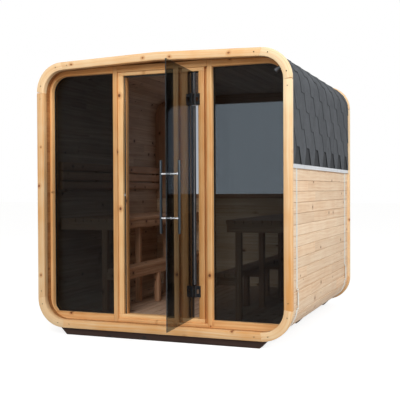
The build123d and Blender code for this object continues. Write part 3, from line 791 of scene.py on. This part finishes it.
def window_frame(name, half, low, high, radius, low_y, high_y, inner_end, tones, steps=6):
    """Round-cornered side members and heads of a window, on both sides; inner_end is where a head stops."""
    jambs, heads = Piece(f"{name}_jambs_timber"), Piece(f"{name}_heads_timber")
    quarter, centre = math.pi / 4, (half - radius, high - radius)
    outer_centre = (wall_line.turn_x, wall_line.upper_z)
    levels = [low]
    if low < wall_line.lower_z:
        levels += [low + (wall_line.lower_z - low) * k / steps for k in range(1, steps + 1)]
    side_outer = [(wall_reach(z), z) for z in levels] + [(wall_line.side, wall_line.upper_z)]
    side_outer += arc(outer_centre, wall_line.radius, 0, quarter, steps)[1:]
    side_inner = [(min(half, wall_reach(z, jamb_least)), z) for z in levels] + [(half, centre[1])]
    side_inner += arc(centre, radius, 0, quarter, steps)[1:]
    head_outer = arc(outer_centre, wall_line.radius, quarter, wall_line.sweep, steps)
    head_outer.append((inner_end, ceiling(inner_end)))
    head_inner = arc(centre, radius, quarter, math.pi / 2, steps) + [(inner_end, high)]
    for hand, turned in (("right", list), ("left", mirrored)):
        for piece, outer, inner, part in ((jambs, side_outer, side_inner, "jamb"),
                                          (heads, head_outer, head_inner, "head")):
            piece.arch(turned(outer), turned(inner), low_y, high_y, tones[f"{hand}_{part}"], radius=frame_edge)
    return jambs, heads


def bottom_rail(piece, hand, board, steps=8):
    """Rail under a side window, its end cut to the round lower corner of the shell."""
    height = window_low - wall_line.low - 2 * end_ease
    levels = [(wall_line.low + end_ease + height * k / steps, 0.0) for k in range(steps + 1)]
    rings = []
    for z, inset in [(wall_line.low, end_ease)] + levels + [(window_low, end_ease)]:
        corners = [(post_outer + inset + a, frame_front + inset + b)
                   for a, b in rounded(wall_reach(z) - post_outer - 2 * inset,
                                       frame_rear - frame_front - 2 * inset, frame_edge)]
        rings.append([((hand * x, y, z), (x, z, y)) for x, y in corners])
    piece.loft(rings, board)


def framed(node, *members, material=frame_timber):
    """Piece of straight members in place of a node; each has two corners, edge radius, tone and face."""
    piece = Piece(f"{node}_timber")
    for low, high, radius, board, face in members:
        piece.stick(low, high, radius, board=board, face=face)
    piece.finish([material], "frame_timber", [node])


front_tones = {"right_jamb": (0.9, 0.5, 0.6), "left_jamb": (0.95, 0.6, 0.6),
               "right_head": (0.8, 0.75, 0.4), "left_head": (0.8, 0.8, 0.4)}
jambs, heads = window_frame("front_window", window_half, window_low, window_high, window_radius,
                            frame_front, frame_rear, post_outer, front_tones)
for hand in (1, -1):
    bottom_rail(heads, hand, (0.7, 0.6, 0.6))
jambs.finish([frame_timber], "frame_timber", ["front_window_jambs"])
heads.finish([frame_timber], "frame_timber", ["front_window_rails"])

post_inner = post_outer - 0.041
post_box = (post_inner, frame_front, frame_low.z), (post_outer, frame_rear, ceiling(post_outer))
framed("front_posts", (*mirror_box(*post_box, 1), frame_edge, (0.5, 0.55, 0.8), 0),
       (*mirror_box(*post_box, -1), frame_edge, (0.35, 0.7, 1.0), 0))
low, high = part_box("door_transom")
transom_top = high.z - roof_fall * post_inner
framed("door_transom", (low, (high.x, high.y, transom_top), frame_edge, (0.4, 0.7, 0.5), None))
framed("door_frame_head", (*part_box("door_frame_head"), frame_edge, (0.85, 0.35, 0.5), None))

jamb_low, jamb_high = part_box("door_frame_jambs")
jamb_face = 0.047
left_stop, right_stop = jamb_low.x + jamb_face, jamb_high.x - jamb_face
framed("door_frame_jambs", (jamb_low, (left_stop, jamb_high.y, jamb_high.z), frame_edge, (0.95, 0.35, 0.9), 0),
       ((right_stop, jamb_low.y, jamb_low.z), jamb_high, frame_edge, (0.35, 0.75, 0.9), 0))

sill_low, sill_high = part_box("door_sill")
sill_line, sill_edge = sill_high.z - 0.036, 0.005
framed("door_sill", (sill_low, (sill_high.x, sill_high.y, sill_line), frame_edge, (0.6, 0.55, 0.6), None),
       ((sill_low.x, jamb_low.y, sill_line), (jamb_high.x, sill_high.y, sill_high.z), sill_edge,
        (0.85, 0.35, 0.5), None))

stop_low, stop_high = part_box("door_stops")
stop_face, stop_front, stop_edge = 0.015, frame_front + 0.042, 0.002
framed("door_stops", ((left_stop, stop_front, sill_high.z), (left_stop + stop_face, frame_rear, jamb_high.z),
                      stop_edge, (0.2, 0.8, 0.5), None),
       ((right_stop - stop_face, stop_front, sill_high.z), (right_stop, frame_rear, jamb_high.z),
        stop_edge, (0.3, 0.7, 0.5), None),
       ((jamb_high.x, stop_low.y, stop_low.z), (post_inner, frame_rear, stop_high.z),
        stop_edge, (0.25, 0.7, 0.5), None))

# Black rubber strip on the stops' front faces and under the head; its black also stands for the shade in the
# rebate round the doorway (painted shade)
shade_gasket_front, shade_gasket_width, shade_gasket_rise, shade_gasket_depth = stop_front - 0.0025, 0.011, 0.012, 0.008
shade_gasket = Piece("doorway_shade_gasket")
for low, high in (((left_stop, shade_gasket_front, sill_high.z), (left_stop + shade_gasket_width, stop_front, jamb_high.z)),
                  ((right_stop - shade_gasket_width, shade_gasket_front, sill_high.z),
                   (right_stop, stop_front, jamb_high.z)),
                  ((left_stop, stop_front, jamb_high.z - shade_gasket_rise),
                   (right_stop, stop_front + shade_gasket_depth, jamb_high.z))):
    shade_gasket.stick(low, high, 0.001)
shade_gasket.finish([seal_rubber], "black_metal")

# Rear wall and window
rear_low, rear_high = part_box("rear_wall")
rear_wall = Piece("rear_wall_timber")
rows = round((rear_high.z - rear_low.z) / board_pitch)
row_height = (rear_high.z - rear_low.z) / rows
section = rounded(row_height, rear_high.y - rear_low.y, board_chamfer, 1)
for row in range(rows):
    low_z = rear_low.z + row * row_height
    cut = chance.choice((-0.5, -0.2, 0.15, 0.45, None))
    ends = (-1.0, 1.0) if cut is None else (-1.0, cut, 1.0)
    for span in zip(ends, ends[1:]):
        rear_wall.loft([level_grain([(share * wall_reach(low_z + up), rear_low.y + deep, low_z + up)
                                     for up, deep in section]) for share in span])
rear_wall.finish([wall_timber], "wall_boards", ["rear_wall"])
# The rear sill and window frames take the darker inner timber: painted shade, as they stand in the cabin's dim
# inside
framed("rear_window_sill", (*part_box("rear_window_sill"), frame_edge, None, None), material=inner_timber)

glass_low, glass_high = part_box("rear_window")
rear_tones = {part: draw_board() for part in front_tones}
rear_frame_low, rear_frame_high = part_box("rear_window_jambs")
jambs, heads = window_frame("rear_window", glass_high.x, glass_low.z, glass_high.z, rear_window_radius,
                            rear_frame_low.y, rear_frame_high.y, 0.0, rear_tones)
jambs.finish([inner_timber], "frame_timber", ["rear_window_jambs"])
heads.finish([inner_timber], "frame_timber", ["rear_window_head"])


# Inside
def slatted(piece, low, high, count, gap, radius=0.004):
    """Parallel slats that fill a box from low to high, side by side along X or Z."""
    side = 0 if high[0] - low[0] > high[2] - low[2] else 2
    width = (high[side] - low[side] - (count - 1) * gap) / count
    for k in range(count):
        corner, far = list(low), list(high)
        corner[side] = low[side] + k * (width + gap)
        far[side] = corner[side] + width
        piece.stick(corner, far, radius, axis=1, board=draw_board())


floor_low, floor_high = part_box("floor_boards")
floor = Piece("floor_boards_timber")
slatted(floor, floor_low, floor_high, 20, 0.005)
floor.finish([floor_timber], "inner_timber", ["floor_boards"])

battens, batten_width = Piece("floor_battens_timber"), 0.060
batten_low, batten_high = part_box("floor_battens")
for k in range(3):
    low_y = batten_low.y + (batten_high.y - batten_low.y - batten_width) * k / 2
    battens.stick((batten_low.x, low_y, batten_low.z), (batten_high.x, low_y + batten_width, batten_high.z))
battens.finish([inner_timber], "inner_timber", ["floor_battens"])

slat_low, slat_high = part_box("bench_slats")
slat_thickness, slat_gap = 0.031, 0.008
upper_edge = slat_high.x - 0.528
lower_edge, lower_width = upper_edge - 0.091, 0.157
fascia_height, fascia_thickness, fascia_setback = 0.067, 0.028, 0.006
rail_thickness, rail_setback, rail_rear_setback, rails_per_bench = 0.040, 0.005, 0.085, 4
rail_groove, groove_depth, groove_under_slats = 0.005, 0.010, 0.015
first_rail, last_rail = slat_low.y + rail_setback, slat_high.y - rail_rear_setback - rail_thickness
rail_run = last_rail - first_rail
rail_fronts = [first_rail + rail_run * k / (rails_per_bench - 1) for k in range(rails_per_bench)]
post_size, upper_post_inset, lower_post_inset, lower_post_setback = 0.048, 0.100, 0.026, 0.028
upper_post = upper_edge + upper_post_inset - post_size / 2
lower_post = lower_edge + lower_post_inset - post_size / 2
leg_fronts = [rail_front + rail_thickness + lower_post_setback for rail_front in rail_fronts[1:]]
benches = (
    (upper_edge, slat_high.x, slat_high.z, 7, slat_high.x, upper_post, rail_fronts),
    (lower_edge, lower_edge + lower_width, slat_low.z + slat_thickness, 2, upper_post, lower_post, leg_fronts),
)


def cross_rail(piece, near, far, rail_front, low_z, high_z, hand):
    """Cross rail of a bench with a groove along both faces below the slats."""
    groove_high = high_z - groove_under_slats
    groove_low, board = groove_high - rail_groove, draw_board()
    for low, high, inset in ((low_z, groove_low, 0.0), (groove_low, groove_high, groove_depth),
                             (groove_high, high_z, 0.0)):
        ends = (near, rail_front + inset, low), (far, rail_front + rail_thickness - inset, high)
        piece.stick(*mirror_box(*ends, hand), radius=0.0 if inset else 0.002, axis=0, board=board)


bench_nodes = ("bench_slats", "bench_fascias", "bench_rails", "bench_posts")
bench_pieces = bench_slats, fascias, bench_rails, legs = [Piece(f"{node}_timber") for node in bench_nodes]
for hand in (1, -1):
    for edge, far, top, slats, rail_end, post_line, post_fronts in benches:
        under = top - slat_thickness
        rail_foot, face = under - fascia_height, edge + fascia_setback
        rail_start = face + fascia_thickness
        slatted(bench_slats, *mirror_box((edge, slat_low.y, under), (far, slat_high.y, top), hand),
                slats, slat_gap, 0.006)
        fascias.stick(*mirror_box((face, slat_low.y + rail_setback, rail_foot),
                                  (rail_start, slat_high.y, under), hand), 0.004)
        for rail_front in rail_fronts:
            cross_rail(bench_rails, rail_start, rail_end, rail_front, rail_foot, under, hand)
        for post_front in post_fronts:
            legs.stick(*mirror_box((post_line, post_front, floor_high.z),
                                   (post_line + post_size, post_front + post_size, rail_foot), hand), face=0)
for piece, node in zip(bench_pieces, bench_nodes):
    piece.finish([inner_timber], "inner_timber", [node])

rest_low, rest_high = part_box("backrest_slats")
rest_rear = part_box("backrest_battens")[1].x
rests, rest_battens = Piece("backrest_slats_timber"), Piece("backrest_battens_timber")
rest_thickness, rest_gap, rest_batten_width = 0.022, 0.012, 0.045
for hand in (1, -1):
    rest_box = mirror_box((rest_high.x - rest_thickness, rest_low.y, rest_low.z), rest_high, hand)
    slatted(rests, *rest_box, 3, rest_gap, 0.005)
    for batten_front in rail_fronts:
        batten_far = (rest_rear, batten_front + rest_batten_width, rest_high.z)
        rest_battens.stick(*mirror_box((rest_high.x, batten_front, rest_low.z), batten_far, hand), axis=2)
rests.finish([inner_timber], "inner_timber", ["backrest_slats"])
rest_battens.finish([inner_timber], "inner_timber", ["backrest_battens"])


# Metal fittings
def screw_head(piece, place, out, radius=0.0045, height=0.0012, kind=0, sunk=0.0008):
    """Low round head seated on a face; out is the direction of the face."""
    place, out = Vector(place), Vector(out)
    profile = ((0.0, radius), (sunk + height * 0.4, radius), (sunk + height, radius * 0.7),
               (sunk + height, radius * 0.35), (sunk + height * 0.5, radius * 0.25))
    piece.turned(place - out * sunk, place + out * height, profile, 16, kind)


screws, ring_screw_step = Piece("frame_screws"), 0.055
for height in (0.39, 0.91, 1.43, 1.95):
    screw_head(screws, (left_stop + stop_face / 2, stop_front, height), (0, -1, 0), kind=1)
ring_line = Outline(ring_face / 2, (ring_radius + ring_inner_radius) / 2)
joint = 0.0
for length in ring_line.lengths[:-1]:
    joint += length
    for step in (-ring_screw_step, ring_screw_step):
        x, z = ring_line.at(joint + step)
        for hand in (1, -1):
            screw_head(screws, (hand * x, front, z), (0, -1, 0), 0.005, 0.0)
screws.finish([screw_steel, bright_steel], "band_steel")

# Turnbuckles: a threaded rod and a sleeve between two lugs on each band
buckle_low, buckle_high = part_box("turnbuckles")
lug_height, lug_inset, lug_past_rod = 0.016, 0.003, 0.002
rod_radius, nut_radius, sleeve_radius, band_width = 0.0035, 0.0062, 0.007, 0.040
rod_x = buckle_high.x - sleeve_radius
buckles = Piece("turnbuckles_fitted")
buckle = both_ends([(0.0, rod_radius), (0.004, rod_radius), (0.004, nut_radius), (0.010, nut_radius),
                    (0.010, rod_radius), (0.030, rod_radius), (0.031, sleeve_radius)],
                   buckle_high.z - buckle_low.z)
for hand in (1, -1):
    for band_front in (buckle_low.y, buckle_high.y - band_width):
        for low_z in (buckle_low.z, buckle_high.z - lug_height):
            buckles.stick(*mirror_box((half_width - board_inset, band_front, low_z + lug_inset),
                                      (rod_x + lug_past_rod, band_front + band_width,
                                       low_z + lug_height - lug_inset), hand), 0.002)
        place = (hand * rod_x, band_front + band_width / 2)
        buckles.turned((*place, buckle_low.z), (*place, buckle_high.z), buckle, 18)
buckles.finish([band_steel], "band_steel", ["turnbuckles"])

# Spotlight: a turned can with cooling grooves, a bezel and a recessed lens
lamp_low, lamp_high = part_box("corner_spotlight")
lamp_radius, lamp_length, lamp_turn = 0.019, 0.060, math.radians(35)
can_radius, groove_radius, lens_radius, lens_start, lens_end = 0.016, 0.014, 0.0142, 0.050, 0.056
seat = math.sqrt(wall_line.radius**2 - lamp_radius**2)
lamp_out = Vector((math.cos(lamp_turn), 0.0, math.sin(lamp_turn)))
lamp_base = Vector((wall_line.turn_x, (lamp_low.y + lamp_high.y) / 2, wall_line.upper_z)) + lamp_out * seat
lamp = Piece("corner_spotlight_turned")
can = [(0.0, 0.013), (0.006, 0.013), (0.007, can_radius)]
for groove in (0.012, 0.018, 0.024):
    can += [(groove, can_radius), (groove + 0.0008, groove_radius), (groove + 0.0026, groove_radius),
            (groove + 0.0034, can_radius)]
can += [(0.034, 0.0165), (0.036, lamp_radius), (0.059, lamp_radius), (lamp_length, 0.018),
        (lamp_length, 0.0155), (0.055, 0.0145)]
lamp.turned(lamp_base, lamp_base - lamp_out * lamp_length, can)
lamp.turned(lamp_base - lamp_out * lens_start, lamp_base - lamp_out * lens_end,
            ((0.0, lens_radius), (0.0046, lens_radius), (0.0058, 0.008)), kind=1)
lamp.finish([lamp_metal, lens_plastic], "lamp_metal", ["corner_spotlight"])

# Catch: a plate with a roller
catch_low, catch_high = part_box("door_catch")
catch, roller_length = Piece("door_catch_roller"), 0.016
plate_x, middle_y = catch_low.x + 0.004, (catch_low.y + catch_high.y) / 2
middle_z = (catch_low.z + catch_high.z) / 2
catch.stick(catch_low, (plate_x, catch_high.y, catch_high.z), 0.001)
catch.turned((plate_x, middle_y, middle_z - roller_length / 2),
             (plate_x, middle_y, middle_z + roller_length / 2),
             both_ends([(0.0, 0.004), (0.001, 0.0055)], roller_length), 20, 1)
catch.finish([bright_steel, catch_plastic], "catch_plastic", ["door_catch"])

# Door fittings in the frame of the open leaf: u runs along it from the hinge pin, v out of its outer face
door_turn = math.radians(94.6)
leaf_u = Vector((-math.cos(door_turn), -math.sin(door_turn), 0.0))
leaf_v = Vector((-leaf_u.y, leaf_u.x, 0.0))
pin = Vector((0.295, front + 0.099, 0.0))
outer_face, inner_face = -0.017, -0.025
handle_u, handle_reach = 0.551, 0.066
bolt_u, bolt_step, clamp = 0.024, 0.025, 0.005


def leaf(u, v, z):
    """Point on the open door leaf."""
    return pin + leaf_u * u + leaf_v * v + Vector((0.0, 0.0, z))


# Handles: a tube with rounded ends on two bright standoffs with collars
standoff = ((0.0, 0.0095), (0.003, 0.0095), (0.0036, 0.006), (handle_reach - 0.016, 0.006),
            (handle_reach - 0.0145, 0.0085), (handle_reach - 0.006, 0.0085))
for node, face, out in (("outer_handle", outer_face, 1), ("inner_handle", inner_face, -1)):
    low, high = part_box(node)
    handle, reach = Piece(f"{node}_tube"), face + out * handle_reach
    handle.turned(leaf(handle_u, reach, low.z), leaf(handle_u, reach, high.z),
                  both_ends([(0.0, 0.006), (0.0015, 0.0088), (0.004, 0.010)], high.z - low.z), 28)
    for inset in (0.114, 0.436):
        place = low.z + inset
        handle.turned(leaf(handle_u, face, place), leaf(handle_u, reach, place), standoff, 24, 1)
    handle.finish([handle_metal, bright_steel], "handle_metal", [node], "door")

hinge_low, hinge_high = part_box("door_hinges")
hinge_height = 0.090
bolts = Piece("hinge_bolts")
for centre in (hinge_low.z + hinge_height / 2, hinge_high.z - hinge_height / 2):
    for step in (-bolt_step, bolt_step):
        for face, out in ((outer_face + clamp, 1), (inner_face - clamp, -1)):
            screw_head(bolts, leaf(bolt_u, face, centre + step), leaf_v * out, 0.008, 0.003)
bolts.finish([black_metal], "black_metal", body="door")

# Black seal with a pale bead along the hinge edge of the leaf, between and above the hinges
edge_near, edge_far, hinge_play = -0.022, -0.0245, 0.006
lip_inner, bead_inner, bead_outer, lip_outer = -0.0255, -0.0145, -0.0115, 0.0015
leaf_top, seal_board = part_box("door_glass")[1].z, (0.5, 0.5, 0.0)
edge_seal = Piece("door_edge_seal")
for span in ((hinge_low.z + hinge_height + hinge_play, hinge_high.z - hinge_height - hinge_play),
             (hinge_high.z + hinge_play, leaf_top - hinge_play)):
    for inner, outer, kind in ((lip_inner, bead_inner, 0), (bead_inner, bead_outer, 1),
                               (bead_outer, lip_outer, 0)):
        corners = ((edge_far, inner), (edge_near, inner), (edge_near, outer), (edge_far, outer))
        edge_seal.loft([[(leaf(u, v, z), (z, u, v)) for u, v in corners] for z in span], seal_board, kind)
edge_seal.finish([seal_rubber, seal_plastic], "black_metal", body="door")

# Black seals round the panes
seal_width, seal_depth, seal_step = 0.006, 0.004, 0.02


def pane_seal(piece, face_y, out):
    """Strip of rubber round one pane on each side of the cabin, on the face at face_y."""
    levels = [window_low + step * seal_step for step in range(8)]
    line = [(min(window_half, wall_reach(level, jamb_least)), level) for level in levels]
    line += arc((window_half - window_radius, window_high - window_radius), window_radius, 0, math.pi / 2, 12)
    line += [(post_outer, window_high), (post_outer, window_low)]
    pairs = []
    for k, point in enumerate(line):
        before, after = line[k - 1], line[(k + 1) % len(line)]
        a = Vector((point[0] - before[0], point[1] - before[1]))
        b = Vector((after[0] - point[0], after[1] - point[1]))
        a, b = (a or b).normalized(), (b or a).normalized()
        tangent = (a + b).normalized()
        share = max(0.5, tangent.dot(a))
        inner = (point[0] - tangent.y * seal_width / share, point[1] + tangent.x * seal_width / share)
        pairs.append((point, inner))
    pairs += pairs[:1]
    low_y, high_y = sorted((face_y, face_y + out * seal_depth))
    for hand in (1, -1):
        for here, after in zip(pairs, pairs[1:]):
            piece.loft([[((hand * x, y, z), (run, 0.0, 0.0))
                         for (x, z), y in ((p, low_y), (p, high_y), (q, high_y), (q, low_y))]
                        for (p, q), run in ((here, 0.0), (after, 0.01))], seal_board)


seals = Piece("pane_seals")
pane_seal(seals, pane_low.y, -1)
pane_seal(seals, pane_high.y, 1)
seals.finish([seal_rubber], "black_metal")


# Studio: pale floor, white background, soft light
def background_rays(tree):
    """1 for the rays that show the background: from the camera, off gloss and through glass."""
    rays = add_node(tree, "LightPath").outputs
    seen = rays["Is Camera Ray"]
    for ray in ("Is Glossy Ray", "Is Transmission Ray"):
        seen = add_node(tree, "Math", seen, rays[ray], operation="MAXIMUM").outputs[0]
    return seen


def studio(reach=60.0):
    mesh = bpy.data.meshes.new("studio_floor")
    mesh.from_pydata([(-reach, -reach, 0), (reach, -reach, 0), (reach, reach, 0), (-reach, reach, 0)], [],
                     [(0, 1, 2, 3)])
    ground = add_object("studio_floor", mesh)
    s = Shader("studio_floor")
    s.set(Base_Color=(0.30, 0.30, 0.30, 1.0), Roughness=0.9, Specular_IOR_Level=0.1)
    shaded = s.node("BsdfDiffuse", Color=(0.86, 0.86, 0.86, 1.0))
    white = s.node("Emission", Strength=1.36)
    pale = s.node("MixShader", 0.6, shaded.outputs[0], white.outputs[0])
    seen = s.node("MixShader", background_rays(s.tree), s.surface.outputs[0], pale.outputs[0])
    feed(s.tree, s.output.inputs[0], seen.outputs[0])
    ground.data.materials.append(s.material)

    world = bpy.data.worlds.new("studio")
    bpy.context.scene.world = world
    world.use_nodes = True
    tree = world.node_tree
    tree.nodes.clear()
    seen = add_node(tree, "Background", Color=(1.0, 1.0, 1.0, 1.0), Strength=1.0)
    lit = add_node(tree, "Background", Color=(1.0, 0.99, 0.97, 1.0), Strength=0.5)
    mixer = add_node(tree, "MixShader", background_rays(tree), lit.outputs[0], seen.outputs[0])
    add_node(tree, "OutputWorld", mixer.outputs[0])

    aim = Vector((0, 0, 1.1))
    for name, place, size, power in (("key", (1.0, -8.5, 6.3), 4.5, 440.0),
                                     ("side", (7.8, -3.2, 5.5), 3.5, 440.0)):
        light = bpy.data.lights.new(name, "AREA")
        light.size, light.energy = size, power
        lamp = add_object(name, light)
        lamp.location = place
        lamp.rotation_euler = (aim - Vector(place)).to_track_quat("-Z", "Y").to_euler()


studio()


# Camera at the photograph's viewing angle
def camera():
    lens = bpy.data.cameras.new("camera")
    lens.sensor_width, lens.lens = 36.0, 67.73
    view = add_object("camera", lens)
    view.location = (2.5026, -6.6836, 1.2108)
    yaw, down, roll = math.radians(21.2945), math.radians(0.7651), math.radians(-0.2572)
    ahead = Vector((-math.sin(yaw) * math.cos(down), math.cos(yaw) * math.cos(down), -math.sin(down)))
    right = Vector((math.cos(yaw), math.sin(yaw), 0.0))
    up = right.cross(ahead)
    right, up = right * math.cos(roll) + up * math.sin(roll), up * math.cos(roll) - right * math.sin(roll)
    view.rotation_mode = "QUATERNION"
    view.rotation_quaternion = Matrix((right, up, -ahead)).transposed().to_quaternion()
    bpy.context.scene.camera = view


camera()
bpy.context.scene.view_settings.view_transform = "Standard"
